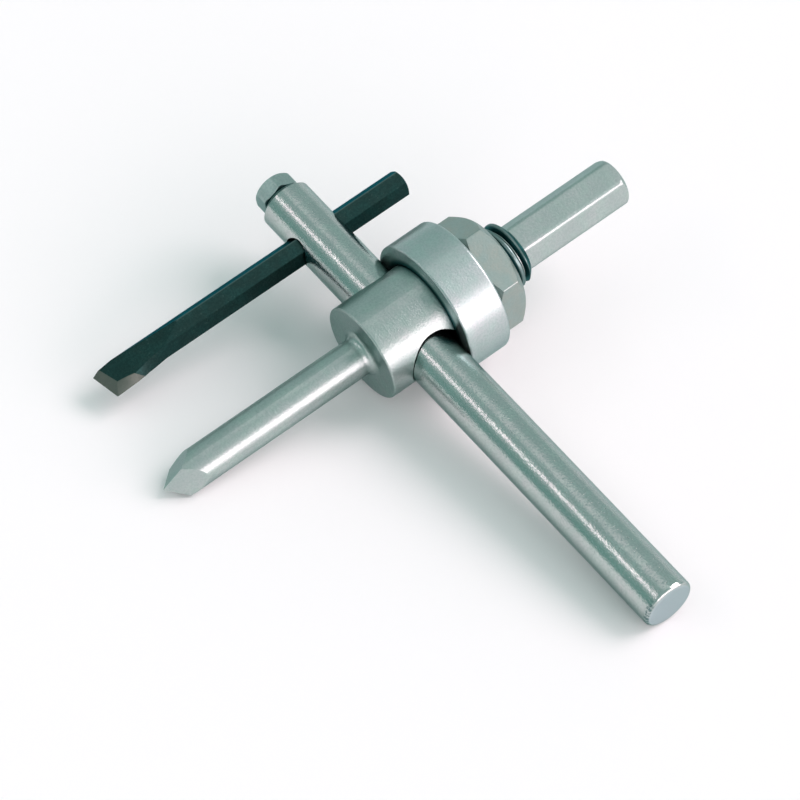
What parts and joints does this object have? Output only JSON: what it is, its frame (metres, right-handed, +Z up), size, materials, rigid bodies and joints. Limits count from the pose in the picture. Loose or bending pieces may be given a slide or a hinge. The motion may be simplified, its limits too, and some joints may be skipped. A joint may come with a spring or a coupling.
{
  "type": "adjustable circle cutter",
  "caption": "Adjustable circle cutter for a drill: a pilot mandrel with a hexagon shank, a cross arm clamped by a ring and nut, and a cutter bit held near the arm's end.",
  "frame": {"origin": "middle of the whole tool's box, on the surface that it lies on", "axes": "+Z up as the tool lies at rest; the mandrel runs towards +X, to its shank, rising by about 11 degrees; the arm runs towards +Y, to the cutter bit, rising by about 6 degrees"},
  "size_m": [0.1114, 0.1234, 0.0304],
  "materials": {
    "zinc_plate": "zinc-plated, semi-gloss",
    "nut_steel": "plain bright steel, satin",
    "black_steel": "blackened tool steel, ground faces on its cutting end"
  },
  "bodies": {
    "mandrel": {"mandrel": "zinc_plate"},
    "clamp_ring": {"clamp_ring": "zinc_plate"},
    "hex_nut": {"hex_nut": "nut_steel"},
    "arm": {"arm": "zinc_plate"},
    "cutter_bit": {"cutter_bit": "black_steel"},
    "clamp_screw": {"clamp_screw": "zinc_plate"}
  },
  "joints": [
    {"name": "ring_lift", "type": "slide", "parent": "mandrel", "child": "clamp_ring", "axis": [0.9829, 0, 0.1843], "range_m": [0, 0.004]},
    {"name": "nut_turn", "type": "hinge", "parent": "clamp_ring", "child": "hex_nut", "pos_m": [0.00187, 0.01927, 0.01331], "axis": [0.9829, 0, 0.1843], "range_deg": [0, 720]},
    {"name": "arm_slide", "type": "slide", "parent": "mandrel", "child": "arm", "axis": [-0.018, 0.9952, 0.0958], "range_m": [-0.0085, 0.065]},
    {"name": "bit_slide", "type": "slide", "parent": "arm", "child": "cutter_bit", "axis": [0.9829, 0, 0.1843], "range_m": [-0.012, 0.025]},
    {"name": "screw_turn", "type": "hinge", "parent": "arm", "child": "clamp_screw", "pos_m": [0.00187, 0.01927, 0.01331], "axis": [-0.018, 0.9952, 0.0958], "range_deg": [0, 360]}
  ],
  "couplings": [
    {"joint": "nut_turn", "follows": "ring_lift", "rad_per_m": 3141.6}
  ]
}
